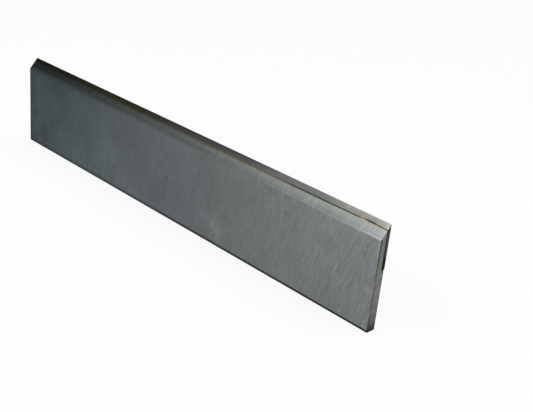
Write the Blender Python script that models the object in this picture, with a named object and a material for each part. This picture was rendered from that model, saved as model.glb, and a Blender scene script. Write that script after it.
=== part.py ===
"""Planer knife: a flat steel body with a carbide strip brazed along its cutting edge.

The knife stands on its foot, as it is stored. The length runs along X, the front face looks along -Y,
the back face along +Y, and the cutting edge is at the top of the back face. The origin is at the middle
of the foot. Three pieces make it up: the steel body with its milled rebate, the carbide strip that sits
in the rebate, and the braze that fills the gap between them. One ground bevel crosses all three.
"""
import math

import bmesh
import bpy

MM = 0.001

# Overall sizes of the knife
KNIFE_LENGTH = 160.0 * MM
KNIFE_WIDTH = 30.0 * MM  # foot to cutting edge
KNIFE_THICKNESS = 3.0 * MM
BEVEL_ANGLE = math.radians(40.0)  # between the ground bevel and the back face

# Carbide strip and the braze round it
STRIP_THICKNESS = 1.05 * MM
STRIP_HEIGHT = 12.3 * MM  # from its lower edge to the cutting edge
STRIP_CORNER_RADIUS = 0.15 * MM  # the corner that points into the rebate
BRAZE_THICKNESS = 0.2 * MM
BRAZE_SINK = 0.04 * MM  # how far the soft braze lies below the ground faces
CORNER_STEPS = 6  # straight pieces in a quarter round

# Broken edges of the steel body
FOOT_CHAMFER = 0.2 * MM
END_CHAMFER = 0.2 * MM

# Places that follow from the sizes, in the plane across the knife (Y, Z)
BACK_FACE_Y = KNIFE_THICKNESS / 2
FRONT_FACE_Y = -BACK_FACE_Y
STRIP_FRONT_Y = BACK_FACE_Y - STRIP_THICKNESS
STRIP_BOTTOM_Z = KNIFE_WIDTH - STRIP_HEIGHT
REBATE_WALL_Y = STRIP_FRONT_Y - BRAZE_THICKNESS
REBATE_LEDGE_Z = STRIP_BOTTOM_Z - BRAZE_THICKNESS
CORNER_CENTRE = (STRIP_FRONT_Y + STRIP_CORNER_RADIUS, STRIP_BOTTOM_Z + STRIP_CORNER_RADIUS)
REBATE_CORNER_RADIUS = STRIP_CORNER_RADIUS + BRAZE_THICKNESS

# Colour, metallic and roughness of each piece
STEEL_FINISH = ((0.30, 0.31, 0.31), 1.0, 0.38)
CARBIDE_FINISH = ((0.33, 0.33, 0.31), 1.0, 0.32)
BRAZE_FINISH = ((0.48, 0.22, 0.10), 1.0, 0.45)


def bevel_height(y, sink=0.0):
    """Height of the ground bevel at one Y, or of a surface sunk square below it."""
    level = KNIFE_WIDTH - (BACK_FACE_Y - y) / math.tan(BEVEL_ANGLE)
    return level - sink / math.sin(BEVEL_ANGLE)


def inner_corner(radius):
    """Quarter round from the ledge side to the wall side, about the centre that the pieces share."""
    centre_y, centre_z = CORNER_CENTRE
    points = []
    for step in range(CORNER_STEPS + 1):
        turn = math.radians(270) - math.radians(90) * step / CORNER_STEPS
        points.append((centre_y + radius * math.cos(turn), centre_z + radius * math.sin(turn)))
    return points


def steel_section():
    """Outline of the body: a bar with the rebate milled in its back and the bevel ground on its front."""
    return [
        (FRONT_FACE_Y, FOOT_CHAMFER),
        (FRONT_FACE_Y + FOOT_CHAMFER, 0.0),
        (BACK_FACE_Y - FOOT_CHAMFER, 0.0),
        (BACK_FACE_Y, FOOT_CHAMFER),
        (BACK_FACE_Y, REBATE_LEDGE_Z),
        *inner_corner(REBATE_CORNER_RADIUS),
        (REBATE_WALL_Y, bevel_height(REBATE_WALL_Y)),
        (FRONT_FACE_Y, bevel_height(FRONT_FACE_Y)),
    ]


def braze_section():
    """Outline of the braze: an even layer below and in front of the strip, sunk at both open edges."""
    open_end_y = BACK_FACE_Y - BRAZE_SINK
    return [
        (open_end_y, REBATE_LEDGE_Z),
        *inner_corner(REBATE_CORNER_RADIUS),
        (REBATE_WALL_Y, bevel_height(REBATE_WALL_Y, BRAZE_SINK)),
        (STRIP_FRONT_Y, bevel_height(STRIP_FRONT_Y, BRAZE_SINK)),
        *reversed(inner_corner(STRIP_CORNER_RADIUS)),
        (open_end_y, STRIP_BOTTOM_Z),
    ]


def strip_section():
    """Outline of the carbide strip: flush with the back face and sharp at the top."""
    return [
        (BACK_FACE_Y, STRIP_BOTTOM_Z),
        *inner_corner(STRIP_CORNER_RADIUS),
        (STRIP_FRONT_Y, bevel_height(STRIP_FRONT_Y)),
        (BACK_FACE_Y, KNIFE_WIDTH),
    ]


def extrude_section(section, length):
    """Closed mesh of an outline in the YZ plane, drawn out along X and centred on the origin."""
    mesh = bmesh.new()
    corners = [mesh.verts.new((-length / 2, y, z)) for y, z in section]
    end_face = mesh.faces.new(corners)
    grown = bmesh.ops.extrude_face_region(mesh, geom=[end_face], use_keep_orig=True)
    moved = [item for item in grown["geom"] if isinstance(item, bmesh.types.BMVert)]
    bmesh.ops.translate(mesh, verts=moved, vec=(length, 0.0, 0.0))
    bmesh.ops.recalc_face_normals(mesh, faces=mesh.faces)
    return mesh


def at(value, place):
    """Whether two coordinates are the same, to well under any size of the knife."""
    return abs(value - place) < 0.001 * MM


def end_edges(mesh):
    """The edges round both ends of the body, apart from those of the ground bevel and the rebate."""
    found = []
    for edge in mesh.edges:
        first, second = (vert.co for vert in edge.verts)
        on_end = at(abs(first.x), KNIFE_LENGTH / 2) and at(first.x, second.x)
        on_side = at(first.y, second.y) and at(abs(first.y), BACK_FACE_Y)
        on_foot = max(first.z, second.z) < FOOT_CHAMFER + 0.001 * MM
        if on_end and (on_side or on_foot):
            found.append(edge)
    return found


def make_material(name, finish):
    """Plain metal for one piece."""
    colour, metallic, roughness = finish
    material = bpy.data.materials.new(name)
    material.use_nodes = True
    shader = material.node_tree.nodes["Principled BSDF"]
    shader.inputs["Base Color"].default_value = (*colour, 1.0)
    shader.inputs["Metallic"].default_value = metallic
    shader.inputs["Roughness"].default_value = roughness
    return material


def add_piece(name, shape, material):
    """Put a finished shape into the scene as a named object."""
    mesh = bpy.data.meshes.new(name)
    shape.to_mesh(mesh)
    shape.free()
    mesh.materials.append(material)
    mesh.shade_smooth()
    mesh.set_sharp_from_angle(angle=math.radians(30))
    piece = bpy.data.objects.new(name, mesh)
    bpy.context.scene.collection.objects.link(piece)
    return piece


def make_steel_body():
    """Body with the edges round its two ends broken, where a hand would cut itself."""
    body = extrude_section(steel_section(), KNIFE_LENGTH)
    bmesh.ops.bevel(body, geom=end_edges(body), offset=END_CHAMFER, offset_type="OFFSET",
                    segments=1, profile=0.5, affect="EDGES")
    return add_piece("steel_body", body, make_material("ground_steel", STEEL_FINISH))


def make_braze_seam():
    """Braze between body and strip, also sunk a little at the two ends of the knife."""
    braze = extrude_section(braze_section(), KNIFE_LENGTH - 2 * BRAZE_SINK)
    return add_piece("braze_seam", braze, make_material("copper_braze", BRAZE_FINISH))


def make_carbide_strip():
    """Strip that carries the cutting edge, as long as the body."""
    strip = extrude_section(strip_section(), KNIFE_LENGTH)
    return add_piece("carbide_strip", strip, make_material("carbide", CARBIDE_FINISH))


def main():
    """Empty the scene and build the three pieces."""
    for item in list(bpy.data.objects):
        bpy.data.objects.remove(item, do_unlink=True)
    make_steel_body()
    make_braze_seam()
    make_carbide_strip()


main()
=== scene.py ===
"""Planer knife in a small photo studio.

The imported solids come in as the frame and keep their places: the flat steel body, the carbide strip that
is brazed along its cutting edge, and the braze between them. This script gives the solids their ground,
sawn and tarnished finishes, puts a finely modelled bead in place of the plain braze, and sets the pale
floor, the soft lights and the camera. All places are in metres in the part's own frame: the length runs
along X, the front face looks along -Y, the back face along +Y, and the cutting edge is at the top. The
finishes are laid out in millimetres in the same frame.
"""

import logging
import math
from dataclasses import dataclass
from enum import Enum

import bmesh
import bpy
from mathutils import Matrix, Vector, noise


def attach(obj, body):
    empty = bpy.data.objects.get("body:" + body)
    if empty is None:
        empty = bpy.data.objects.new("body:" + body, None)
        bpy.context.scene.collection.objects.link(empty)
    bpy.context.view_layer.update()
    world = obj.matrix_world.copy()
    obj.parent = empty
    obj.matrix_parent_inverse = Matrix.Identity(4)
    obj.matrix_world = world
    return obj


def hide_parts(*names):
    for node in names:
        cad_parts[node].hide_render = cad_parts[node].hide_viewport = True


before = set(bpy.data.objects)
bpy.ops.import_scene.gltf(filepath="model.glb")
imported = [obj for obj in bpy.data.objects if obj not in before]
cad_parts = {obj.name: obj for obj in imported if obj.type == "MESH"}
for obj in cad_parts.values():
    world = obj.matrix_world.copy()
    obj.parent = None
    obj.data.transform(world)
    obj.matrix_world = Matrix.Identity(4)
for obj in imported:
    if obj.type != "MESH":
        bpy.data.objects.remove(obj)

LOG = logging.getLogger("planer_knife")
MM = 0.001

Socket = bpy.types.NodeSocket
Feed = bpy.types.NodeSocket | float | tuple
Colour = tuple[float, float, float]
Pair = tuple[float, float]

WHITE: Colour = (1.0, 1.0, 1.0)


class Ground(Enum):
    """The kinds of outer face that a knife has."""

    FRONT = "Front"
    BACK = "Back"
    BEVEL = "Bevel"
    END = "End"
    CHAMFER = "Chamfer"


class Place(Enum):
    """Ways to give the place of a point on the knife, in millimetres."""

    WHOLE = "Millimetres"
    ALONG = "Along"
    ACROSS = "Across"
    HEIGHT = "Height"


class Mark(Enum):
    """What a set of marks is made of: fine lines, broader bands, sparse scratches and their relief."""

    FINE = "Fine"
    BROAD = "Broad"
    SCRATCHES = "Scratches"
    RELIEF = "Relief"


class SocketKind(Enum):
    """Kinds of socket on a shared node group."""

    VALUE = "NodeSocketFloat"
    VECTOR = "NodeSocketVector"


@dataclass(frozen=True)
class KnifeSizes:
    """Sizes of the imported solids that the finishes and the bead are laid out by."""

    length: float = 160.0 * MM
    width: float = 30.0 * MM
    thickness: float = 3.0 * MM
    bevel_angle: float = math.radians(40.0)
    strip_thickness: float = 1.05 * MM
    strip_height: float = 12.3 * MM
    strip_corner: float = 0.15 * MM
    braze_thickness: float = 0.2 * MM
    chamfer: float = 0.2 * MM

    @property
    def back_y(self) -> float:
        """Y of the back face."""
        return self.thickness / 2

    @property
    def strip_front_y(self) -> float:
        """Y of the strip's face towards the steel."""
        return self.back_y - self.strip_thickness

    @property
    def strip_bottom_z(self) -> float:
        """Height of the strip's lower side."""
        return self.width - self.strip_height

    @property
    def bevel_foot_z(self) -> float:
        """Height at which the bevel meets the front face."""
        return self.bevel_height(-self.back_y)

    def bevel_height(self, y: float, sink: float = 0.0) -> float:
        """Height of the ground bevel at one Y.

        Args:
            y: place across the knife.
            sink: how far the surface lies square below the bevel.

        Returns:
            The height in metres.
        """
        level = self.width - (self.back_y - y) / math.tan(self.bevel_angle)
        return level - sink / math.sin(self.bevel_angle)


KNIFE = KnifeSizes()
NEAR_END = KNIFE.length / 2 / MM
FRONT_Y = -KNIFE.back_y / MM
BEVEL_FOOT = KNIFE.bevel_foot_z / MM
CUTTING_EDGE = KNIFE.width / MM
STRIP_FRONT = KNIFE.strip_front_y / MM
STRIP_BOTTOM = KNIFE.strip_bottom_z / MM
BRAZE_FRONT = STRIP_FRONT - KNIFE.braze_thickness / MM


def opaque(colour: Feed) -> Feed:
    """A colour of three numbers with an alpha of one added, and any other feed as it is."""
    return (*colour, 1.0) if isinstance(colour, tuple) and len(colour) == 3 else colour


class NodeSheet:
    """Adds nodes to one tree, in columns, and fills or links their inputs."""

    column_width: int = 220
    row_height: int = 190
    rows: int = 4

    def __init__(self, tree: bpy.types.NodeTree) -> None:
        """Start on a tree.

        Args:
            tree: the tree of a material, a world or a node group.
        """
        self.tree = tree
        self.count = 0

    def node(self, kind: str, feeds: dict[str | int, Feed] | None = None,
             **settings: object) -> bpy.types.Node:
        """Add one node.

        Args:
            kind: the node's type without its ShaderNode or Node prefix.
            feeds: values or sockets for its inputs, by socket name or number.
            settings: properties of the node itself.

        Returns:
            The new node.
        """
        prefix = "Node" if kind.startswith("Group") and kind != "Group" else "ShaderNode"
        made = self.tree.nodes.new(prefix + kind)
        column, row = divmod(self.count, self.rows)
        made.location = (column * self.column_width, -row * self.row_height)
        self.count += 1
        for name, value in settings.items():
            setattr(made, name, value)
        for name, value in (feeds or {}).items():
            self.feed(made.inputs[name], value)
        return made

    def feed(self, socket: Socket, value: Feed) -> None:
        """Link a socket to an output, or set its own value.

        Args:
            socket: the input to fill.
            value: an output socket, a number or a tuple.
        """
        if isinstance(value, bpy.types.NodeSocket):
            self.tree.links.new(value, socket)
        else:
            socket.default_value = value

    def math(self, operation: str, first: Feed, second: Feed = 0.0) -> Socket:
        """Result of one Math node."""
        return self.node("Math", {0: first, 1: second}, operation=operation).outputs[0]

    def fold(self, operation: str, values: tuple[Feed, ...]) -> Feed:
        """Take one operation through a row of values.

        Args:
            operation: what the Math nodes do.
            values: the values, from the first to the last.

        Returns:
            The last node's output, or the value itself where there is only one.
        """
        result = values[0]
        for value in values[1:]:
            result = self.math(operation, result, value)
        return result

    def total(self, *terms: Feed) -> Socket:
        """Sum of some values."""
        return self.fold("ADD", terms)

    def product(self, *factors: Feed) -> Socket:
        """Product of some values."""
        return self.fold("MULTIPLY", factors)

    def largest(self, *values: Feed) -> Socket:
        """Largest of some values."""
        return self.fold("MAXIMUM", values)

    def minus(self, first: Feed, second: Feed) -> Socket:
        """First value less the second."""
        return self.math("SUBTRACT", first, second)

    def ratio(self, first: Feed, second: Feed) -> Socket:
        """First value over the second."""
        return self.math("DIVIDE", first, second)

    def above(self, value: Feed, limit: Feed) -> Socket:
        """One where a value is above a limit, and zero elsewhere."""
        return self.math("GREATER_THAN", value, limit)

    def below(self, value: Feed, limit: Feed) -> Socket:
        """One where a value is below a limit, and zero elsewhere."""
        return self.math("LESS_THAN", value, limit)

    def around_one(self, signal: Feed, amount: Feed) -> Socket:
        """A signal about one half turned into a factor about one, of the given strength."""
        return self.total(self.product(self.minus(signal, 0.5), amount), 1.0)

    def between(self, value: Feed, low: Feed, high: Feed, start: Feed = 0.0, end: Feed = 1.0) -> Socket:
        """Smooth step from start to end as a value goes from low to high.

        Args:
            value: the value that is read.
            low: where the step begins.
            high: where the step ends.
            start: the result up to low.
            end: the result from high on.

        Returns:
            The output socket.
        """
        feeds = {"Value": value, "From Min": low, "From Max": high, "To Min": start, "To Max": end}
        return self.node("MapRange", feeds, interpolation_type="SMOOTHSTEP").outputs["Result"]

    def mix(self, factor: Feed, first: Feed, second: Feed) -> Socket:
        """Mix of two numbers."""
        return self.node("Mix", {0: factor, 2: first, 3: second}, data_type="FLOAT").outputs[0]

    def dimmed(self, mask: Feed, factor: Feed) -> Socket:
        """A factor that is one outside a mask and the given one inside it."""
        return self.mix(mask, 1.0, factor)

    def mix_colour(self, factor: Feed, first: Feed, second: Feed) -> Socket:
        """Mix of two colours."""
        feeds = {0: factor, 6: opaque(first), 7: opaque(second)}
        return self.node("Mix", feeds, data_type="RGBA").outputs[2]

    def shade(self, colour: Feed, factor: Feed) -> Socket:
        """A colour times a number."""
        return self.node("VectorMath", {0: colour, "Scale": factor}, operation="SCALE").outputs[0]

    def vector(self, x: Feed, y: Feed, z: Feed) -> Socket:
        """Vector of three values."""
        return self.node("CombineXYZ", {0: x, 1: y, 2: z}).outputs[0]

    def split(self, vector: Feed) -> tuple[Socket, ...]:
        """The three parts of a vector."""
        return tuple(self.node("SeparateXYZ", {0: vector}).outputs)

    def noise(self, spot: Feed, detail: float, roughness: float, distortion: float = 0.0) -> Socket:
        """Noise about one half, in cells of about one unit.

        Args:
            spot: the place in the noise.
            detail: number of finer layers.
            roughness: how strongly the finer layers show.
            distortion: how far the cells are bent.

        Returns:
            The output socket.
        """
        feeds = {"Vector": spot, "Scale": 1.0, "Detail": detail, "Roughness": roughness,
                 "Distortion": distortion}
        return self.node("TexNoise", feeds).outputs[0]


@dataclass(frozen=True)
class Step:
    """A smooth step from start to end between two places, which keeps these values beyond them."""

    low: float
    high: float
    start: float = 0.0
    end: float = 1.0

    def read(self, sheet: NodeSheet, value: Feed) -> Socket:
        """The step at a value."""
        return sheet.between(value, self.low, self.high, self.start, self.end)


@dataclass(frozen=True)
class MarkLayer:
    """One layer of noise in the marks, by how quickly it changes across them and along them."""

    across_pace: float
    along_pace: float
    seed: float
    roughness: float


class SharedEffects:
    """Node groups that the finishes place with their own values, each built once."""

    mark_layers: tuple[MarkLayer, ...] = (
        MarkLayer(1.0, 1.0, 0.0, 0.65),
        MarkLayer(0.24, 0.6, 7.3, 0.5),
        MarkLayer(0.8, 0.7, 13.1, 0.3),
    )
    mark_detail: float = 2.0
    mark_reliefs: tuple[float, ...] = (0.7, 0.3, -0.25)
    scratch_share: Step = Step(0.64, 0.72)
    falling: Step = Step(0.0, 1.0, 1.0, 0.0)
    line_edge: Step = Step(0.45, 1.0, 1.0, 0.0)
    line_sway: float = 4.0
    least_line: float = 0.001
    speck_core: float = 0.4
    squareness: float = 0.98
    bevel_squareness: float = 0.99
    end_squareness: float = 0.9
    chamfer_squareness: float = 0.5

    def __init__(self) -> None:
        """Build every group, so that the finishes find them ready."""
        self.place = self.build_place()
        self.faces = self.build_faces()
        self.marks = self.build_marks()
        self.spot = self.build_spot()
        self.band = self.build_band()
        self.line = self.build_line()
        self.clouds = self.build_clouds()
        self.specks = self.build_specks()

    @staticmethod
    def begin(name: str, inputs: dict[str, float], outputs: dict[str, SocketKind],
              vectors: tuple[str, ...] = ()) -> tuple[NodeSheet, dict[str, Socket], bpy.types.Node]:
        """Make an empty group with its sockets.

        Args:
            name: the group's name.
            inputs: names of the value inputs and their usual values.
            outputs: names and kinds of the outputs.
            vectors: names of vector inputs, which come first.

        Returns:
            The sheet to add nodes with, the inner ends of the inputs by name, and the output node.
        """
        tree = bpy.data.node_groups.new(name, "ShaderNodeTree")
        for vector_name in vectors:
            tree.interface.new_socket(vector_name, in_out="INPUT", socket_type=SocketKind.VECTOR.value)
        for input_name, usual in inputs.items():
            made = tree.interface.new_socket(input_name, in_out="INPUT", socket_type=SocketKind.VALUE.value)
            made.default_value = usual
        for output_name, kind in outputs.items():
            tree.interface.new_socket(output_name, in_out="OUTPUT", socket_type=kind.value)
        sheet = NodeSheet(tree)
        entry = sheet.node("GroupInput")
        given = {socket.name: socket for socket in entry.outputs if socket.name}
        return sheet, given, sheet.node("GroupOutput")

    def build_place(self) -> bpy.types.NodeTree:
        """Place of a point on the knife in millimetres, whole and by its three parts.

        Returns:
            The node group.
        """
        kinds = {place.value: SocketKind.VALUE for place in Place}
        kinds[Place.WHOLE.value] = SocketKind.VECTOR
        sheet, _, out = self.begin("part_place", {}, kinds)
        own = sheet.node("TexCoord").outputs["Object"]
        scaled = sheet.shade(own, 1.0 / MM)
        for place, value in zip(Place, (scaled, *sheet.split(scaled))):
            sheet.feed(out.inputs[place.value], value)
        return sheet.tree

    def build_faces(self) -> bpy.types.NodeTree:
        """Masks of the outer faces, read from the way that the surface looks.

        Returns:
            The node group.
        """
        sheet, _, out = self.begin("ground_faces", {}, {face.value: SocketKind.VALUE for face in Ground})
        facing = sheet.node("NewGeometry").outputs["True Normal"]
        x, y, _ = sheet.split(facing)
        slope = (0.0, -math.cos(KNIFE.bevel_angle), math.sin(KNIFE.bevel_angle))
        on_bevel = sheet.node("VectorMath", {0: facing, 1: slope}, operation="DOT_PRODUCT").outputs["Value"]
        endways = sheet.math("ABSOLUTE", x)
        masks = {
            Ground.FRONT: sheet.below(y, -self.squareness),
            Ground.BACK: sheet.above(y, self.squareness),
            Ground.BEVEL: sheet.above(on_bevel, self.bevel_squareness),
            Ground.END: sheet.above(endways, self.end_squareness),
            Ground.CHAMFER: sheet.product(sheet.above(endways, self.chamfer_squareness),
                                          sheet.below(endways, self.end_squareness)),
        }
        for face, mask in masks.items():
            sheet.feed(out.inputs[face.value], mask)
        return sheet.tree

    def build_marks(self) -> bpy.types.NodeTree:
        """Grinding or sawing marks: fine lines, broader bands, sparse scratches and the relief of all.

        Returns:
            The node group.
        """
        usual = {"Across": 0.0, "Along": 0.0, "Spacing": 0.5, "Length": 12.0, "Seed": 0.0}
        kinds = {mark.value: SocketKind.VALUE for mark in Mark}
        sheet, given, out = self.begin("grinding_marks", usual, kinds)
        across = sheet.ratio(given["Across"], given["Spacing"])
        along = sheet.ratio(given["Along"], given["Length"])
        layers = []
        for layer in self.mark_layers:
            spot = sheet.vector(sheet.product(across, layer.across_pace),
                                sheet.product(along, layer.along_pace),
                                sheet.total(given["Seed"], layer.seed))
            layers.append(sheet.noise(spot, self.mark_detail, layer.roughness))
        fine, broad, sparse = layers
        scratches = self.scratch_share.read(sheet, sparse)
        parts = (fine, broad, scratches)
        weighted = [sheet.product(part, weight) for part, weight in zip(parts, self.mark_reliefs)]
        relief = sheet.total(*weighted)
        for mark, value in zip(Mark, (*parts, relief)):
            sheet.feed(out.inputs[mark.value], value)
        return sheet.tree

    def build_spot(self) -> bpy.types.NodeTree:
        """Soft round or oval spot, one at its middle and zero from its rim on.

        Returns:
            The node group.
        """
        usual = {"U": 0.0, "V": 0.0, "Middle U": 0.0, "Middle V": 0.0, "Reach U": 1.0, "Reach V": 1.0}
        sheet, given, out = self.begin("soft_spot", usual, {"Mask": SocketKind.VALUE})
        squares = []
        for axis in ("U", "V"):
            share = sheet.ratio(sheet.minus(given[axis], given["Middle " + axis]), given["Reach " + axis])
            squares.append(sheet.product(share, share))
        away = sheet.math("SQRT", sheet.total(*squares))
        sheet.feed(out.inputs["Mask"], self.falling.read(sheet, away))
        return sheet.tree

    def build_band(self) -> bpy.types.NodeTree:
        """Soft-edged band between two values.

        Returns:
            The node group.
        """
        usual = {"Value": 0.0, "From": 0.0, "To": 1.0, "Feather": 0.1}
        sheet, given, out = self.begin("soft_band", usual, {"Mask": SocketKind.VALUE})
        sides = []
        for name, start, end in (("From", 0.0, 1.0), ("To", 1.0, 0.0)):
            low = sheet.minus(given[name], given["Feather"])
            high = sheet.total(given[name], given["Feather"])
            sides.append(sheet.between(given["Value"], low, high, start, end))
        sheet.feed(out.inputs["Mask"], sheet.product(*sides))
        return sheet.tree

    def build_line(self) -> bpy.types.NodeTree:
        """Worn or dirty line along an edge, whose width wavers along it.

        Returns:
            The node group.
        """
        usual = {"Away": 0.0, "Width": 0.3, "Along": 0.0, "Waver": 0.5, "Length": 1.5, "Seed": 0.0}
        sheet, given, out = self.begin("edge_line", usual, {"Mask": SocketKind.VALUE})
        spot = sheet.vector(sheet.ratio(given["Along"], given["Length"]), given["Seed"], 0.0)
        sway = sheet.noise(spot, detail=3.0, roughness=0.6)
        swing = sheet.product(given["Waver"], self.line_sway)
        wide = sheet.product(given["Width"], sheet.around_one(sway, swing))
        share = sheet.ratio(sheet.math("ABSOLUTE", given["Away"]), sheet.largest(wide, self.least_line))
        sheet.feed(out.inputs["Mask"], self.line_edge.read(sheet, share))
        return sheet.tree

    def build_clouds(self) -> bpy.types.NodeTree:
        """Patches of handling, oil film or grain, about one half.

        Returns:
            The node group.
        """
        usual = {"Size": 10.0, "Height Share": 1.0, "Seed": 0.0}
        kinds = {"Tone": SocketKind.VALUE}
        sheet, given, out = self.begin("smoky_clouds", usual, kinds, (Place.WHOLE.value,))
        x, y, z = sheet.split(given[Place.WHOLE.value])
        size = given["Size"]
        spot = sheet.vector(sheet.ratio(x, size), sheet.total(sheet.ratio(y, size), given["Seed"]),
                            sheet.ratio(z, sheet.product(size, given["Height Share"])))
        tone = sheet.noise(spot, detail=3.0, roughness=0.55, distortion=0.4)
        sheet.feed(out.inputs["Tone"], tone)
        return sheet.tree

    def build_specks(self) -> bpy.types.NodeTree:
        """Small scattered specks and pits, one inside a speck.

        Returns:
            The node group.
        """
        usual = {"Spacing": 3.0, "Size": 0.1, "Share": 0.3}
        kinds = {"Mask": SocketKind.VALUE}
        sheet, given, out = self.begin("scattered_specks", usual, kinds, (Place.WHOLE.value,))
        spot = sheet.shade(given[Place.WHOLE.value], sheet.ratio(1.0, given["Spacing"]))
        cells = sheet.node("TexVoronoi", {"Vector": spot, "Scale": 1.0})
        core = sheet.product(given["Size"], self.speck_core)
        near = sheet.between(cells.outputs["Distance"], core, given["Size"], 1.0, 0.0)
        lot = sheet.split(cells.outputs["Color"])[0]
        sheet.feed(out.inputs["Mask"], sheet.product(near, sheet.below(lot, given["Share"])))
        return sheet.tree


class FinishSheet(NodeSheet):
    """The sheet of one finish, with the place on the knife, the faces and the shared effects at hand."""

    def __init__(self, tree: bpy.types.NodeTree, effects: SharedEffects) -> None:
        """Put the place and the face masks on the sheet.

        Args:
            tree: the material's tree.
            effects: the shared node groups.
        """
        super().__init__(tree)
        self.effects = effects
        place = self.use(effects.place, {})
        self.where, self.along, self.across, self.height = (place[kind.value] for kind in Place)
        masks = self.use(effects.faces, {})
        self.on = {face: masks[face.value] for face in Ground}

    def use(self, group: bpy.types.NodeTree, feeds: dict[str, Feed]) -> bpy.types.NodeOutputs:
        """Place a shared node group and fill its inputs.

        Args:
            group: the group.
            feeds: values or sockets by input name.

        Returns:
            The group's outputs.
        """
        made = self.node("Group", node_tree=group)
        for name, value in feeds.items():
            self.feed(made.inputs[name], value)
        return made.outputs

    def by_length(self, *fades: "Step | Band") -> Socket:
        """Steps and bands read along the knife and multiplied."""
        return self.product(*(fade.read(self, self.along) for fade in fades))

    def by_height(self, fade: "Step | Band") -> Socket:
        """A step or band read up the knife."""
        return fade.read(self, self.height)

    def toned_by_length(self, mask: Feed, fades: tuple["Step | Band", ...]) -> Socket:
        """Factors inside a mask that change along the knife, and one outside it."""
        return self.product(*(self.dimmed(mask, self.by_length(fade)) for fade in fades))


@dataclass(frozen=True)
class Band:
    """A soft-edged band between two places: one inside it, zero outside."""

    low: float
    high: float
    feather: float

    def read(self, sheet: FinishSheet, value: Feed) -> Socket:
        """The band's mask at a value."""
        feeds = {"Value": value, "From": self.low, "To": self.high, "Feather": self.feather}
        return sheet.use(sheet.effects.band, feeds)["Mask"]


@dataclass(frozen=True)
class TonedBand(Band):
    """A band along the knife in which the tone changes by a factor."""

    factor: float

    def tone(self, sheet: FinishSheet) -> Socket:
        """One outside the band and its factor inside."""
        return sheet.dimmed(sheet.by_length(self), self.factor)


@dataclass(frozen=True)
class Region:
    """A soft-edged part of a surface, by a step or band along the knife and one up it."""

    along: Step | Band
    height: Step | Band

    def draw(self, sheet: FinishSheet) -> Socket:
        """The region's mask."""
        return sheet.product(sheet.by_height(self.height), sheet.by_length(self.along))


@dataclass(frozen=True)
class Oval:
    """A soft oval, by its middle and its reach each way in millimetres."""

    u: float
    v: float
    reach_u: float
    reach_v: float

    def draw(self, sheet: FinishSheet, u: Feed, v: Feed) -> Socket:
        """The oval's mask over two values.

        Args:
            sheet: the finish's sheet.
            u: the first value.
            v: the second value.

        Returns:
            The output socket, one at the middle and zero from the rim on.
        """
        feeds = {"U": u, "V": v, "Middle U": self.u, "Middle V": self.v, "Reach U": self.reach_u,
                 "Reach V": self.reach_v}
        return sheet.use(sheet.effects.spot, feeds)["Mask"]


@dataclass(frozen=True)
class Spot(Oval):
    """A soft patch on a face, placed along the knife and up it, with a factor for its tone."""

    factor: float

    def tone(self, sheet: FinishSheet) -> Socket:
        """One outside the spot and its factor at its middle."""
        return sheet.dimmed(self.draw(sheet, sheet.along, sheet.height), self.factor)


@dataclass(frozen=True)
class Line:
    """A wavering line along an edge: its mean width on each side of it, and how strongly that changes."""

    width: float
    seed: float
    waver: float = 0.5

    def draw(self, sheet: FinishSheet, away: Feed, course: Feed | None = None) -> Socket:
        """The line's mask.

        Args:
            sheet: the finish's sheet.
            away: distance from the edge.
            course: place along the edge, which is the place along the knife where nothing is given.

        Returns:
            The output socket.
        """
        along = sheet.along if course is None else course
        feeds = {"Away": away, "Width": self.width, "Along": along, "Waver": self.waver, "Seed": self.seed}
        return sheet.use(sheet.effects.line, feeds)["Mask"]


@dataclass(frozen=True)
class Cloud:
    """Patches of one size in millimetres, and how tall they are for that size."""

    size: float
    seed: float
    tall: float = 1.0

    def draw(self, sheet: FinishSheet) -> Socket:
        """Tone of the patches.

        Args:
            sheet: the finish's sheet.

        Returns:
            The output socket, about one half.
        """
        feeds = {Place.WHOLE.value: sheet.where, "Size": self.size, "Height Share": self.tall,
                 "Seed": self.seed}
        return sheet.use(sheet.effects.clouds, feeds)["Tone"]

    def tone(self, sheet: FinishSheet, depth: Feed) -> Socket:
        """Light and dark of the patches, as a factor about one."""
        return sheet.around_one(self.draw(sheet), depth)


@dataclass(frozen=True)
class Specks:
    """Scattered specks: their spacing in millimetres, their size as a share of it, and how many show."""

    spacing: float
    size: float
    share: float

    def draw(self, sheet: FinishSheet) -> Socket:
        """Scatter the specks.

        Args:
            sheet: the finish's sheet.

        Returns:
            The output socket, one inside a speck and zero elsewhere.
        """
        feeds = {Place.WHOLE.value: sheet.where, "Spacing": self.spacing, "Size": self.size,
                 "Share": self.share}
        return sheet.use(sheet.effects.specks, feeds)["Mask"]


@dataclass(frozen=True)
class Marks:
    """Grinding or sawing marks: spacing and length in millimetres, and the depths of lines and bands."""

    spacing: float
    length: float
    seed: float
    fine_depth: float
    broad_depth: float

    def draw(self, sheet: FinishSheet, across: Feed, along: Feed) -> dict[Mark, Socket]:
        """Lay the marks.

        Args:
            sheet: the finish's sheet.
            across: place square to the marks.
            along: place in their own direction.

        Returns:
            The outputs by what they hold.
        """
        feeds = {"Across": across, "Along": along, "Spacing": self.spacing, "Length": self.length,
                 "Seed": self.seed}
        made = sheet.use(sheet.effects.marks, feeds)
        return {mark: made[mark.value] for mark in Mark}

    def tone(self, sheet: FinishSheet, drawn: dict[Mark, Socket], clear: Feed = 1.0) -> Socket:
        """Light and dark of marks that are already laid.

        Args:
            sheet: the finish's sheet.
            drawn: the marks' outputs.
            clear: how clearly they show, against their usual depths.

        Returns:
            A factor about one.
        """
        fine = sheet.around_one(drawn[Mark.FINE], sheet.product(clear, self.fine_depth))
        broad = sheet.around_one(drawn[Mark.BROAD], sheet.product(clear, self.broad_depth))
        return sheet.product(fine, broad)


@dataclass(frozen=True)
class Stage:
    """A colour that comes in over a step along the knife."""

    step: Step
    colour: Colour


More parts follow.
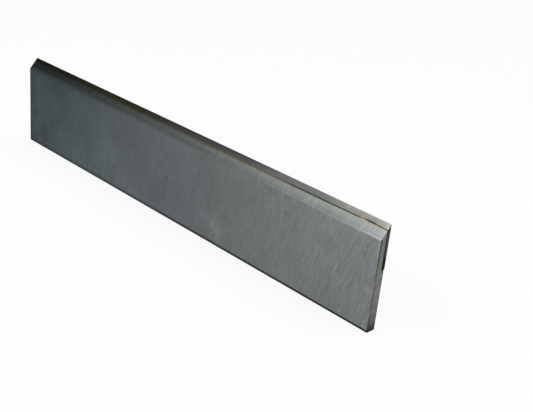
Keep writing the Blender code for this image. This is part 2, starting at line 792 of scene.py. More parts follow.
def staged(sheet: FinishSheet, first: Colour, stages: tuple[Stage, ...]) -> Feed:
    """A colour that changes in stages along the knife.

    Args:
        sheet: the finish's sheet.
        first: the colour at the far end.
        stages: the colours that follow it.

    Returns:
        The last mix's output.
    """
    colour = first
    for stage in stages:
        colour = sheet.mix_colour(sheet.by_length(stage.step), colour, stage.colour)
    return colour


@dataclass(frozen=True)
class Surface:
    """Colour, roughness and relief of one kind of surface."""

    colour: Feed
    roughness: Feed
    relief: Feed

    def with_patch(self, sheet: NodeSheet, mask: Feed, patch: "Surface") -> "Surface":
        """This surface outside a mask and another one inside it.

        Args:
            sheet: the finish's sheet.
            mask: where the other surface is.
            patch: the other surface.

        Returns:
            The surface of both.
        """
        return Surface(sheet.mix_colour(mask, self.colour, patch.colour),
                       sheet.mix(mask, self.roughness, patch.roughness),
                       sheet.mix(mask, self.relief, patch.relief))

    def toned(self, sheet: NodeSheet, factor: Feed) -> "Surface":
        """This surface with its colour lighter or darker by a factor."""
        return Surface(sheet.shade(self.colour, factor), self.roughness, self.relief)

    def stained(self, sheet: NodeSheet, mask: Feed, colour: Feed) -> "Surface":
        """This surface with another colour inside a mask."""
        return Surface(sheet.mix_colour(mask, self.colour, colour), self.roughness, self.relief)


@dataclass(frozen=True)
class Finish:
    """A metal finish: one Principled shader whose colour, roughness and normal come from nodes."""

    name: str
    relief: float = 0.004 * MM
    glance_tint: Colour = (0.2, 0.22, 0.24)

    def build(self, effects: SharedEffects) -> bpy.types.Material:
        """Make the material.

        Args:
            effects: the shared node groups.

        Returns:
            The finished material.
        """
        material = bpy.data.materials.new(self.name)
        material.use_nodes = True
        shader = material.node_tree.nodes["Principled BSDF"]
        sheet = FinishSheet(material.node_tree, effects)
        made = self.surface(sheet)
        bump = sheet.node("Bump", {"Strength": 1.0, "Distance": self.relief, "Height": made.relief})
        shader.inputs["Metallic"].default_value = 1.0
        shader.inputs["Specular Tint"].default_value = opaque(self.glance_tint)
        sheet.feed(shader.inputs["Base Color"], made.colour)
        sheet.feed(shader.inputs["Roughness"], made.roughness)
        sheet.feed(shader.inputs["Normal"], bump.outputs[0])
        return material

    def surface(self, sheet: FinishSheet) -> Surface:
        """Colour, roughness and relief of the finish, which each kind of finish gives."""
        raise NotImplementedError


@dataclass(frozen=True)
class BroadFace:
    """The broad steel faces and the foot: arcs of grinding marks, grain, smoky clouds and single spots.

    A pair of depths is for bare steel and for steel under the dark film and the painted shade towards the
    far end.
    """

    colour: Colour = (0.217, 0.231, 0.232)
    # Darker far-end colour: partly a real oil film, partly painted shade where the light falls off towards
    # the far end.
    film_and_shade_colour: Colour = (0.098, 0.118, 0.127)
    roughness: Pair = (0.43, 0.55)
    lean: float = 0.18
    lean_growth: float = 0.0026
    marks: Marks = Marks(0.33, 4.0, 1.7, fine_depth=0.70, broad_depth=0.18)
    clearing: Step = Step(-10.0, 85.0, 0.62, 1.28)
    scratch_tone: float = 1.10
    smoke: Cloud = Cloud(17.0, 3.0, 0.9)
    smoke_depths: Pair = (0.16, 0.55)
    patches: Cloud = Cloud(5.0, 12.0, 1.3)
    patch_depths: Pair = (0.18, 0.24)
    grain: Cloud = Cloud(0.45, 15.0)
    grain_depth: float = 0.42
    middle: float = 13.0
    upward_depths: Pair = (0.075, -0.13)
    specks: Specks = Specks(6.0, 0.035, 0.25)
    speck_colour: Colour = (0.07, 0.062, 0.048)
    speck_strength: float = 0.5
    speck_roughness: float = 0.15
    dark_areas: tuple[Spot, ...] = (
        Spot(20.0, 13.0, 52.0, 60.0, 0.895),
        Spot(-62.0, 24.5, 8.0, 6.0, 0.92),
        Spot(-66.0, 6.0, 9.0, 8.0, 0.90),
        Spot(-71.5, 4.5, 6.5, 7.5, 0.78),
        Spot(-66.5, 9.0, 6.5, 5.0, 0.90),
        Spot(-79.5, 3.0, 6.5, 6.0, 0.66),
        Spot(-45.0, 14.0, 6.0, 9.0, 0.90),
        Spot(-44.0, 10.0, 5.0, 3.5, 0.92),
        Spot(-15.0, 6.0, 5.0, 9.0, 0.95),
        Spot(-14.3, 4.0, 2.4, 5.0, 0.90),
        Spot(-9.0, 5.0, 6.0, 5.0, 0.94),
        Spot(1.0, 19.0, 8.5, 5.5, 0.93),
        Spot(46.6, 22.0, 3.8, 3.4, 0.94),
        Spot(63.0, 8.0, 8.0, 6.0, 0.96),
        Spot(75.3, 20.6, 2.8, 2.8, 0.93),
    )
    light_areas: tuple[Spot, ...] = (
        Spot(-74.5, 19.0, 2.6, 9.0, 1.13),
        Spot(-73.5, 24.5, 3.0, 3.6, 1.12),
        Spot(-70.5, 21.0, 3.5, 6.0, 1.10),
        Spot(-45.5, 15.5, 3.2, 2.8, 1.08),
        Spot(-34.0, 18.5, 6.5, 3.2, 1.09),
        Spot(-33.0, 12.0, 7.0, 8.0, 1.12),
        Spot(-29.0, 23.0, 6.0, 5.0, 1.09),
        Spot(-15.0, 20.0, 4.5, 7.0, 1.08),
        Spot(33.0, 11.5, 10.0, 5.5, 1.05),
        Spot(50.0, 5.0, 8.0, 6.0, 1.07),
        Spot(68.5, 21.5, 3.2, 3.8, 1.05),
    )
    wiped_smear: tuple[Spot, ...] = (
        Spot(18.0, 5.5, 6.5, 7.0, 1.05),
        Spot(12.8, 5.8, 2.0, 3.2, 1.07),
        Spot(15.6, 8.2, 3.6, 2.4, 1.14),
        Spot(19.6, 6.2, 3.0, 3.2, 1.20),
        Spot(22.2, 3.6, 2.2, 4.4, 1.22),
    )
    dark_specks: tuple[Spot, ...] = (
        Spot(-2.5, 13.0, 1.4, 1.1, 0.70),
        Spot(48.0, 21.0, 1.0, 0.8, 0.80),
        Spot(75.4, 20.8, 0.7, 1.1, 0.78),
        Spot(76.2, 23.5, 0.5, 0.8, 0.82),
    )
    bright_nicks_and_glints: tuple[Spot, ...] = (
        Spot(54.0, 8.7, 0.5, 0.5, 1.25),
        Spot(76.1, 14.9, 0.45, 0.45, 1.40),
        Spot(77.4, 11.8, 0.35, 0.60, 1.35),
        Spot(70.0, 1.8, 0.6, 0.6, 1.35),
        # Painted highlight where the lower edge catches the light near the near corner.
        Spot(79.2, 1.25, 1.9, 0.75, 1.27),
    )

    def surface(self, sheet: FinishSheet, film_and_shade: Feed) -> Surface:
        """Colour, roughness and relief of the broad faces.

        Args:
            sheet: the finish's sheet.
            film_and_shade: how strong the dark film and the painted shade towards the far end are, from 0
                to 1.

        Returns:
            The surface.
        """
        lean = sheet.total(sheet.product(sheet.height, self.lean_growth), self.lean)
        leaning = sheet.minus(sheet.along, sheet.product(sheet.height, lean))
        marks = self.marks.draw(sheet, leaning, sheet.height)
        tone = sheet.product(
            self.marks.tone(sheet, marks, sheet.by_length(self.clearing)),
            self.smoke.tone(sheet, sheet.mix(film_and_shade, *self.smoke_depths)),
            self.patches.tone(sheet, sheet.mix(film_and_shade, *self.patch_depths)),
            self.grain.tone(sheet, self.grain_depth),
            sheet.dimmed(marks[Mark.SCRATCHES], self.scratch_tone),
            sheet.dimmed(sheet.on[Ground.FRONT], self.front_tone(sheet, film_and_shade)),
        )
        specks = self.specks.draw(sheet)
        colour = sheet.shade(sheet.mix_colour(film_and_shade, self.colour, self.film_and_shade_colour), tone)
        roughness = sheet.total(sheet.mix(marks[Mark.FINE], *self.roughness),
                                sheet.product(specks, self.speck_roughness))
        made = Surface(colour, roughness, marks[Mark.RELIEF])
        return made.stained(sheet, sheet.product(specks, self.speck_strength), self.speck_colour)

    def front_tone(self, sheet: FinishSheet, film_and_shade: Feed) -> Socket:
        """What only the front face shows: a slow change upwards and the single spots.

        Args:
            sheet: the finish's sheet.
            film_and_shade: how strong the dark film and the painted shade towards the far end are, from 0
                to 1.

        Returns:
            A factor about one.
        """
        upward = sheet.ratio(sheet.minus(sheet.height, self.middle), self.middle)
        slow = sheet.total(sheet.product(upward, sheet.mix(film_and_shade, *self.upward_depths)), 1.0)
        spots = (*self.dark_areas, *self.light_areas, *self.wiped_smear, *self.dark_specks,
                 *self.bright_nicks_and_glints)
        return sheet.product(slow, *(spot.tone(sheet) for spot in spots))


@dataclass(frozen=True)
class SteelBevel:
    """The steel part of the bevel: marks straight across it, tones that change along and up it, and a
    painted highlight along its foot.
    """

    colour: Colour = (0.257, 0.271, 0.264)
    # Darker far-end colour of the bevel: partly a real oil film, partly painted shade towards the far end.
    film_and_shade_colour: Colour = (0.086, 0.095, 0.092)
    film_and_shade: Step = Step(-95.0, 30.0, 1.0, 0.0)
    roughness: Pair = (0.30, 0.38)
    marks: Marks = Marks(0.30, 4.0, 5.1, fine_depth=0.82, broad_depth=0.40)
    clearing: Step = Step(-20.0, 60.0, 0.4, 1.0)
    patches: Cloud = Cloud(3.0, 21.0)
    patch_depth: float = 0.16
    near_low: Region = Region(Step(-30.0, 30.0), Step(BEVEL_FOOT + 1.6, BEVEL_FOOT + 0.2))
    near_low_tone: Step = Step(70.0, 77.0, 0.83, 0.87)
    warm_stretch: Band = Band(47.0, 68.0, 6.0)
    warm_colour: Colour = (0.242, 0.258, 0.236)
    far_low: Region = Region(Step(-45.0, 15.0, 1.0, 0.0), Step(BEVEL_FOOT + 1.35, BEVEL_FOOT + 0.1))
    far_low_colour: Colour = (0.205, 0.242, 0.250)
    mid_low: Stage = Stage(Step(-45.0, -5.0), (0.34, 0.37, 0.385))
    dull: Region = Region(Band(-40.0, 18.0, 10.0), Band(BEVEL_FOOT + 0.45, BEVEL_FOOT + 0.95, 0.24))
    dull_tone: Step = Step(-35.0, 5.0, 0.80, 0.89)
    late_dip: TonedBand = TonedBand(60.0, 71.0, 4.0, 0.93)
    near_glow: Step = Step(74.0, 80.0, 1.0, 1.10)
    seam: Line = Line(0.11, 37.0)
    seam_glow: Step = Step(68.0, 76.0, 1.0, 1.16)
    seam_stain: Step = Step(57.0, 70.0, 0.92, 0.0)
    flux_colour: Colour = (0.130, 0.122, 0.062)
    # Painted highlight along the bevel's foot, strongest towards the near corner.
    foot_highlight: Line = Line(0.24, 39.0, 0.8)
    foot_highlight_start: Step = Step(38.0, 50.0)
    foot_highlight_rise: Step = Step(70.0, 76.5, 0.15, 1.0)
    foot_highlight_colour: Colour = (0.300, 0.303, 0.272)
    corner_glow: Step = Step(75.5, 79.0, 1.0, 1.18)

    def surface(self, sheet: FinishSheet) -> Surface:
        """Colour, roughness and relief of the bevel.

        Args:
            sheet: the finish's sheet.

        Returns:
            The surface.
        """
        marks = self.marks.draw(sheet, sheet.along, sheet.height)
        near_low = self.near_low.draw(sheet)
        seam = self.seam.draw(sheet, sheet.minus(sheet.across, BRAZE_FRONT))
        tone = sheet.product(
            self.marks.tone(sheet, marks, sheet.by_length(self.clearing)),
            self.patches.tone(sheet, self.patch_depth),
            sheet.dimmed(near_low, sheet.by_length(self.near_low_tone)),
            sheet.dimmed(seam, sheet.by_length(self.seam_glow)),
            sheet.dimmed(self.dull.draw(sheet), sheet.by_length(self.dull_tone)),
            self.late_dip.tone(sheet),
            sheet.by_length(self.near_glow),
        )
        made = Surface(self.steel_colour(sheet, near_low), sheet.mix(marks[Mark.FINE], *self.roughness),
                       marks[Mark.RELIEF])
        stain = sheet.product(seam, sheet.by_length(self.seam_stain))
        made = made.stained(sheet, stain, self.flux_colour).toned(sheet, tone)
        # Painted highlight along the bevel's foot.
        painted_highlight = sheet.product(self.foot_highlight.draw(sheet, sheet.minus(sheet.height, BEVEL_FOOT)),
                             sheet.by_length(self.foot_highlight_start, self.foot_highlight_rise))
        highlight_colour = sheet.shade(self.foot_highlight_colour, sheet.by_length(self.corner_glow))
        return made.stained(sheet, painted_highlight, highlight_colour)

    def steel_colour(self, sheet: FinishSheet, near_low: Feed) -> Socket:
        """Colour of the bare steel and of the dark film with painted shade towards the far end, before
        marks and stains.

        Args:
            sheet: the finish's sheet.
            near_low: mask of the lower half towards the near end.

        Returns:
            The output socket.
        """
        colour = sheet.mix_colour(sheet.by_length(self.film_and_shade), self.colour, self.film_and_shade_colour)
        low = staged(sheet, self.far_low_colour, (self.mid_low,))
        colour = sheet.mix_colour(self.far_low.draw(sheet), colour, low)
        warm = sheet.product(near_low, sheet.by_length(self.warm_stretch))
        return sheet.mix_colour(warm, colour, self.warm_colour)


@dataclass(frozen=True)
class SawnEnd:
    """The cut ends of the steel: slanted saw marks and mottling, darker towards the bottom, with a ragged
    band of dirt and painted shadow at the foot and painted shade along the front edge.
    """

    colour: Colour = (0.250, 0.256, 0.236)
    roughness: Pair = (0.42, 0.62)
    relief_strength: float = 4.0
    slant: float = -0.45
    marks: Marks = Marks(0.75, 3.5, 9.2, fine_depth=1.15, broad_depth=0.50)
    mottle: Cloud = Cloud(0.6, 8.0)
    mottle_depth: float = 0.90
    # Painted shade along the end face's front edge.
    front_edge_shade: Line = Line(0.32, 31.0, 0.9)
    front_edge_shade_tone: Step = Step(15.0, 24.0, 0.75, 0.60)
    lower_tone: Step = Step(3.0, 11.0, 0.74, 1.0)
    ragged_slant: float = 0.25
    ragged_mottle: float = 1.2
    ragged_drop: float = -0.35
    # Ragged dark band at the foot: dirt and painted contact shadow.
    ragged_foot_shadow: Step = Step(1.2, 4.2, 0.42, 1.0)

    def surface(self, sheet: FinishSheet) -> Surface:
        """Colour, roughness and relief of the sawn ends.

        Args:
            sheet: the finish's sheet.

        Returns:
            The surface.
        """
        mottle = self.mottle.draw(sheet)
        slanted = sheet.total(sheet.height, sheet.product(sheet.across, self.slant))
        marks = self.marks.draw(sheet, slanted, sheet.across)
        ragged = sheet.total(sheet.height, sheet.product(sheet.across, self.ragged_slant),
                             sheet.product(mottle, self.ragged_mottle), self.ragged_drop)
        from_front = sheet.minus(sheet.across, FRONT_Y + KNIFE.chamfer / MM)
        front_edge_shade = self.front_edge_shade.draw(sheet, from_front, sheet.height)
        tone = sheet.product(
            self.marks.tone(sheet, marks),
            sheet.around_one(mottle, self.mottle_depth),
            sheet.dimmed(front_edge_shade, sheet.by_height(self.front_edge_shade_tone)),
            sheet.by_height(self.lower_tone),
            self.ragged_foot_shadow.read(sheet, ragged),
        )
        return Surface(sheet.shade(self.colour, tone), sheet.mix(mottle, *self.roughness),
                       sheet.product(marks[Mark.RELIEF], self.relief_strength))


@dataclass(frozen=True)
class SteelEdges:
    """The edges of the steel: painted highlights along the bevel's crease and the near upright edge,
    painted shade under the crease and on the upright chamfers, a darker strip along the far upright edge,
    and dirt with painted shadow at the foot.
    """

    # Painted highlight along the front face just under the bevel's crease, brighter towards the near end.
    crease_highlight: Line = Line(0.42, 33.0, 0.35)
    crease_highlight_glow: Step = Step(45.0, 79.0, 1.0, 1.55)
    # Painted shade on the front face just under the bevel's crease.
    crease_shade: Step = Step(0.2, 1.3, 1.0, 0.0)
    crease_shade_tone: Step = Step(-55.0, -15.0, 0.93, 1.0)
    # Painted highlight along the front face beside the near upright edge.
    near_edge_highlight: Line = Line(0.55, 35.0)
    near_upright_inset: float = 0.3
    near_edge_highlight_glow: Step = Step(18.5, BEVEL_FOOT, 1.0, 1.40)
    far_upright: Step = Step(-NEAR_END + 0.3, -NEAR_END + 1.2, 1.0, 0.0)
    far_upright_tone: Step = Step(22.0, BEVEL_FOOT, 0.62, 0.35)
    # Painted shade on the chamfers of the upright edges, with a grainy tone.
    chamfer_grain: Cloud = Cloud(0.8, 23.0)
    chamfer_depth: float = 1.0
    chamfer_tone: Step = Step(15.0, 24.0, 0.75, 0.62)
    # Dark band at the foot: partly dirt, partly painted contact shadow, darkest towards the near end.
    foot_dirt_and_shadow_tone: Step = Step(-90.0, 80.0, 0.70, 0.15)
    foot_bottom: float = 0.6
    foot_tops: Pair = (0.95, 2.0)
    end_foot_dirt_and_shadow: Step = Step(0.3, 0.7, 0.35, 1.0)

    def tone(self, sheet: FinishSheet, film_and_shade: Feed) -> Socket:
        """Factor of all the edges.

        Args:
            sheet: the finish's sheet.
            film_and_shade: how strong the dark film and the painted shade towards the far end are, from 0
                to 1, which also widens the dirt and painted shadow at the foot.

        Returns:
            The output socket.
        """
        front = sheet.on[Ground.FRONT]
        below_bevel = sheet.minus(BEVEL_FOOT, sheet.height)
        crease_highlight = sheet.product(front, self.crease_highlight.draw(sheet, below_bevel))
        crease_shade = sheet.product(front, self.crease_shade.read(sheet, below_bevel))
        from_near = sheet.minus(NEAR_END - self.near_upright_inset, sheet.along)
        near_edge_highlight = sheet.product(front, self.near_edge_highlight.draw(sheet, from_near, sheet.height))
        far_upright = sheet.product(front, sheet.by_length(self.far_upright))
        chamfer_shade = sheet.product(self.chamfer_grain.tone(sheet, self.chamfer_depth),
                               sheet.by_height(self.chamfer_tone))
        foot_dirt_and_shadow = sheet.between(sheet.height, self.foot_bottom, sheet.mix(film_and_shade, *self.foot_tops),
                             sheet.by_length(self.foot_dirt_and_shadow_tone), 1.0)
        return sheet.product(
            sheet.dimmed(crease_highlight, sheet.by_length(self.crease_highlight_glow)),
            sheet.dimmed(crease_shade, sheet.by_length(self.crease_shade_tone)),
            sheet.dimmed(near_edge_highlight, sheet.by_height(self.near_edge_highlight_glow)),
            sheet.dimmed(far_upright, sheet.by_height(self.far_upright_tone)),
            sheet.dimmed(sheet.on[Ground.CHAMFER], chamfer_shade),
            sheet.mix(sheet.on[Ground.END], foot_dirt_and_shadow, sheet.by_height(self.end_foot_dirt_and_shadow)),
        )


@dataclass(frozen=True)
class GroundSteel(Finish):
    """Ground tool steel, under a dark film and painted shade that both thin out towards the near end."""

    # How far the dark film and the painted shade reach, darkest at the far end.
    film_and_shade_reach: Step = Step(-95.0, 85.0, 1.0, 0.0)
    broad: BroadFace = BroadFace()
    bevel: SteelBevel = SteelBevel()
    sawn: SawnEnd = SawnEnd()
    edges: SteelEdges = SteelEdges()

    def surface(self, sheet: FinishSheet) -> Surface:
        """Colour, roughness and relief of ground steel.

        Args:
            sheet: the finish's sheet.

        Returns:
            The surface.
        """
        film_and_shade = sheet.product(sheet.by_length(self.film_and_shade_reach), sheet.dimmed(sheet.on[Ground.BACK], 0.0))
        made = self.broad.surface(sheet, film_and_shade)
        made = made.with_patch(sheet, sheet.on[Ground.BEVEL], self.bevel.surface(sheet))
        sawn = sheet.largest(sheet.on[Ground.END], sheet.on[Ground.CHAMFER])
        made = made.with_patch(sheet, sawn, self.sawn.surface(sheet))
        return made.toned(sheet, self.edges.tone(sheet, film_and_shade))


@dataclass(frozen=True)
class CarbideFace:
    """The ground faces of the carbide: fine marks, grey mottling and a warmer glare along the cutting edge.

    They are dark olive at the far end, from tarnish and painted shade, slate in the middle, and light at
    the near end with painted highlights.
    """

    far_colour: Colour = (0.055, 0.066, 0.039)
    # The colour stages: tarnish with painted shade at the far end, rising to a painted highlight at the
    # near end.
    stages: tuple[Stage, ...] = (
        Stage(Step(-70.0, -28.0), (0.093, 0.096, 0.058)),
        Stage(Step(-25.0, 15.0), (0.114, 0.125, 0.117)),
        Stage(Step(22.0, 50.0), (0.166, 0.178, 0.170)),
        Stage(Step(76.0, 78.0), (0.179, 0.183, 0.154)),
    )
    back_colour: Colour = (0.183, 0.190, 0.187)
    roughness: Pair = (0.31, 0.37)
    relief_strength: float = 0.2
    marks: Marks = Marks(0.30, 2.6, 2.4, fine_depth=0.28, broad_depth=0.18)
    clearing: Step = Step(0.0, 65.0, 0.25, 1.0)
    mottle: Cloud = Cloud(1.0, 17.0)
    mottle_depth: float = 0.55
    patches: Cloud = Cloud(7.0, 27.0)
    patch_depth: float = 0.14
    # Painted highlights towards the near end.
    near_highlights: tuple[Step, ...] = (Step(57.0, 69.0, 1.0, 1.22), Step(75.0, 79.5, 1.0, 1.17))
    dips: tuple[TonedBand, ...] = (TonedBand(50.0, 58.0, 4.0, 0.94), TonedBand(74.0, 76.0, 1.2, 0.95))
    fleck: Spot = Spot(66.8, CUTTING_EDGE - 0.3, 1.3, 0.5, 1.20)
    upper: Step = Step(CUTTING_EDGE - 1.0, CUTTING_EDGE - 0.1)
    # Upper band: painted shade towards the far end and painted highlight towards the near end.
    upper_tones: tuple[Step, ...] = (Step(-60.0, -20.0, 1.0, 0.78), Step(32.0, 48.0, 1.0, 1.25))
    glare: Step = Step(56.0, 70.0)
    glare_colour: Colour = (0.198, 0.198, 0.168)
    # Painted highlight along the cutting edge, dimmer towards the far end and brighter towards the near
    # end.
    edge_glint: Line = Line(0.23, 41.0, 0.4)
    edge_glint_tones: tuple[Step, ...] = (
        Step(25.0, 60.0, 0.78, 1.0),
        Step(-60.0, -10.0, 0.75, 1.0),
        Step(56.0, 70.0, 1.0, 1.22),
    )
    edge_glint_rim: Step = Step(70.0, 79.0)
    # Painted highlight on the bevel along the carbide's near end and its cutting edge.
    end_rim_highlight: Line = Line(0.9, 45.0)
    rim_strength: float = 0.8
    rim_highlight_colour: Colour = (0.362, 0.364, 0.322)

    def surface(self, sheet: FinishSheet) -> Surface:
        """Colour, roughness and relief of the bevel and the back.

        Args:
            sheet: the finish's sheet.

        Returns:
            The surface.
        """
        marks = self.marks.draw(sheet, sheet.along, sheet.height)
        clear = sheet.by_length(self.clearing)
        upper = sheet.by_height(self.upper)
        edge_glint = self.edge_glint.draw(sheet, sheet.minus(CUTTING_EDGE, sheet.height))
        tone = sheet.product(
            self.marks.tone(sheet, marks, clear),
            self.mottle.tone(sheet, sheet.product(clear, self.mottle_depth)),
            self.patches.tone(sheet, self.patch_depth),
            sheet.toned_by_length(edge_glint, self.edge_glint_tones),
            sheet.toned_by_length(upper, self.upper_tones),
            self.fleck.tone(sheet),
            sheet.by_length(*self.near_highlights),
            *(dip.tone(sheet) for dip in self.dips),
        )
        colour = staged(sheet, self.far_colour, self.stages)
        glare = sheet.product(upper, sheet.by_length(self.glare))
        colour = sheet.mix_colour(glare, colour, self.glare_colour)
        colour = sheet.mix_colour(sheet.on[Ground.BACK], colour, self.back_colour)
        made = Surface(sheet.shade(colour, tone), sheet.mix(marks[Mark.FINE], *self.roughness),
                       sheet.product(marks[Mark.RELIEF], clear, self.relief_strength))
        rim = sheet.largest(self.end_rim_highlight.draw(sheet, sheet.minus(NEAR_END, sheet.along), sheet.height),
                            sheet.product(edge_glint, sheet.by_length(self.edge_glint_rim)))
        # Painted highlight on the rims of the bevel.
        painted_highlight = sheet.product(rim, sheet.on[Ground.BEVEL], self.rim_strength)
        return made.stained(sheet, painted_highlight, self.rim_highlight_colour)


@dataclass(frozen=True)
class SinteredEnd:
    """The unground ends of the carbide, with a dark stain low down."""

    colour: Colour = (0.106, 0.108, 0.093)
    roughness: float = 0.5
    relief_strength: float = 5.0
    mottle: Cloud = Cloud(1.1, 6.0, 1.5)
    mottle_depth: float = 0.7
    rim: Line = Line(0.22, 49.0, 0.9)
    rim_tone: float = 0.40
    upper_tone: Step = Step(CUTTING_EDGE - 3.0, CUTTING_EDGE - 1.2, 1.0, 0.62)
    stain: Oval = Oval(1.0, STRIP_BOTTOM + 1.6, 1.5, 3.1)
    stain_mottle: float = 0.6
    stain_edge: Step = Step(0.15, 0.55)
    stain_colour: Colour = (0.036, 0.038, 0.028)

    def surface(self, sheet: FinishSheet) -> Surface:
        """Colour, roughness and relief of the unground ends.

        Args:
            sheet: the finish's sheet.

        Returns:
            The surface.
        """
        mottle = self.mottle.draw(sheet)
        rim = self.rim.draw(sheet, sheet.minus(sheet.across, STRIP_FRONT), sheet.height)
        tone = sheet.product(sheet.around_one(mottle, self.mottle_depth), sheet.dimmed(rim, self.rim_tone),
                             sheet.by_height(self.upper_tone))
        stain = sheet.total(self.stain.draw(sheet, sheet.across, sheet.height),
                            sheet.product(sheet.minus(mottle, 0.5), self.stain_mottle))
        made = Surface(sheet.shade(self.colour, tone), self.roughness,
                       sheet.product(mottle, self.relief_strength))
        return made.stained(sheet, self.stain_edge.read(sheet, stain), self.stain_colour)


@dataclass(frozen=True)
class BrazeSmear:
    """What the brazing left on the carbide's part of the bevel: painted shade beside the gap, a darker
    smear line by the seam near the end, and an olive stain.
    """

    # Painted shade on the carbide beside the gap in the braze.
    gap: Oval = Oval(74.6, 0.0, 2.9, 0.21)
    gap_edge: Step = Step(0.08, 0.25)
    late: Line = Line(0.08, 43.0, 0.9)
    late_stretch: Band = Band(76.0, 78.0, 0.5)
    late_strength: float = 0.4
    shade_and_smear_tone: float = 0.06
    stain: Line = Line(0.11, 47.0)
    stain_strength: Step = Step(75.5, 77.5, 0.40, 0.0)
    stain_colour: Colour = (0.082, 0.080, 0.042)

    def spread(self, sheet: FinishSheet, made: Surface) -> Surface:
        """Lay the painted shade beside the gap, the smear line and the stain over the ground carbide.

        Args:
            sheet: the finish's sheet.
            made: the clean surface.

        Returns:
            The smeared surface.
        """
        bevel = sheet.on[Ground.BEVEL]
        above_seam = sheet.minus(sheet.across, STRIP_FRONT)
        gap = self.gap_edge.read(sheet, self.gap.draw(sheet, sheet.along, above_seam))
        late = sheet.product(self.late.draw(sheet, above_seam), sheet.by_length(self.late_stretch),
                             self.late_strength)
        smear = sheet.product(sheet.largest(gap, late), bevel)
        stain = sheet.product(self.stain.draw(sheet, above_seam), bevel,
                              sheet.by_length(self.stain_strength))
        smeared = made.toned(sheet, sheet.dimmed(smear, self.shade_and_smear_tone))
        return smeared.stained(sheet, stain, self.stain_colour)


@dataclass(frozen=True)
class GroundCarbide(Finish):
    """Sintered carbide: finely ground on its faces, dark and grainy on its unground ends."""

    face: CarbideFace = CarbideFace()
    end: SinteredEnd = SinteredEnd()
    smear: BrazeSmear = BrazeSmear()

    def surface(self, sheet: FinishSheet) -> Surface:
        """Colour, roughness and relief of ground carbide."""
        made = self.smear.spread(sheet, self.face.surface(sheet))
        return made.with_patch(sheet, sheet.on[Ground.END], self.end.surface(sheet))


@dataclass(frozen=True)
class CopperBraze(Finish):
    """Copper braze: bright where it was wiped bare, brown, olive or nearly black where it is tarnished,
    with painted shade along its carbide side near the near end.

    The factor of a copper hint is how strongly the bare copper shows there.
    """

    far_colour: Colour = (0.042, 0.054, 0.046)
    stages: tuple[Stage, ...] = (
        Stage(Step(-60.0, 30.0), (0.155, 0.149, 0.092)),
        Stage(Step(40.0, 49.0), (0.046, 0.045, 0.017)),
    )
    brown: Colour = (0.100, 0.022, 0.006)
    browning: Cloud = Cloud(2.6, 2.0)
    browning_edge: Step = Step(0.52, 0.70, 0.0, 0.35)
    browning_fade: Step = Step(38.0, 46.0, 1.0, 0.3)
    copper: Colour = (0.47, 0.158, 0.047)
    copper_hints: tuple[Spot, ...] = (
        Spot(39.5, 0.0, 1.3, 1.0, 0.30),
        Spot(43.5, 0.0, 0.9, 1.0, 0.22),
        Spot(67.8, 0.0, 1.4, 1.0, 0.13),
    )
    bare_from: Step = Step(70.0, 72.2)
    red: Colour = (0.29, 0.048, 0.006)
    red_from: Step = Step(73.2, 74.8)
    brown_from: Step = Step(76.0, 77.6)
    black: Colour = (0.020, 0.022, 0.014)
    # Painted shade in the gap along the braze's carbide side, near the near end.
    gap_shade_stretch: Band = Band(73.0, 76.2, 0.5)
    gap_shade_side: Step = Step(STRIP_FRONT - 0.035, STRIP_FRONT - 0.005)
    bevel_from: Step = Step(STRIP_BOTTOM + 6.0, STRIP_BOTTOM + 8.0)
    grain: Cloud = Cloud(0.15, 1.0)
    grain_depth: float = 0.6
    grain_relief: float = 3.0
    roughness: Pair = (0.35, 0.6)

    def tarnish(self, sheet: FinishSheet) -> Socket:
        """Colour of the tarnished braze, olive at the far end and nearly black near the bare copper.

        Args:
            sheet: the finish's sheet.

        Returns:
            The output socket.
        """
        colour = staged(sheet, self.far_colour, self.stages)
        browned = sheet.product(self.browning_edge.read(sheet, self.browning.draw(sheet)),
                                sheet.by_length(self.browning_fade))
        colour = sheet.mix_colour(browned, colour, self.brown)
        for hint in self.copper_hints:
            shown = sheet.product(hint.draw(sheet, sheet.along, 0.0), hint.factor)
            colour = sheet.mix_colour(shown, colour, self.copper)
        return colour

    def surface(self, sheet: FinishSheet) -> Surface:
        """Colour, roughness and relief of the braze.

        Args:
            sheet: the finish's sheet.

        Returns:
            The surface.
        """
        grain = self.grain.draw(sheet)
        on_bevel = sheet.by_height(self.bevel_from)
        gap_shaded_side = sheet.product(on_bevel, sheet.by_length(self.gap_shade_stretch),
                                   self.gap_shade_side.read(sheet, sheet.across))
        late = sheet.mix_colour(sheet.by_length(self.brown_from), self.red, self.brown)
        colour = self.tarnish(sheet)
        for mask, bared in (
            (sheet.product(on_bevel, sheet.by_length(self.bare_from)), self.copper),
            (sheet.product(on_bevel, sheet.by_length(self.red_from)), late),
            (gap_shaded_side, self.black),
            (sheet.on[Ground.END], self.black),
        ):
            colour = sheet.mix_colour(mask, colour, bared)
        colour = sheet.shade(colour, sheet.around_one(grain, self.grain_depth))
        return Surface(colour, sheet.mix(grain, *self.roughness), sheet.product(grain, self.grain_relief))


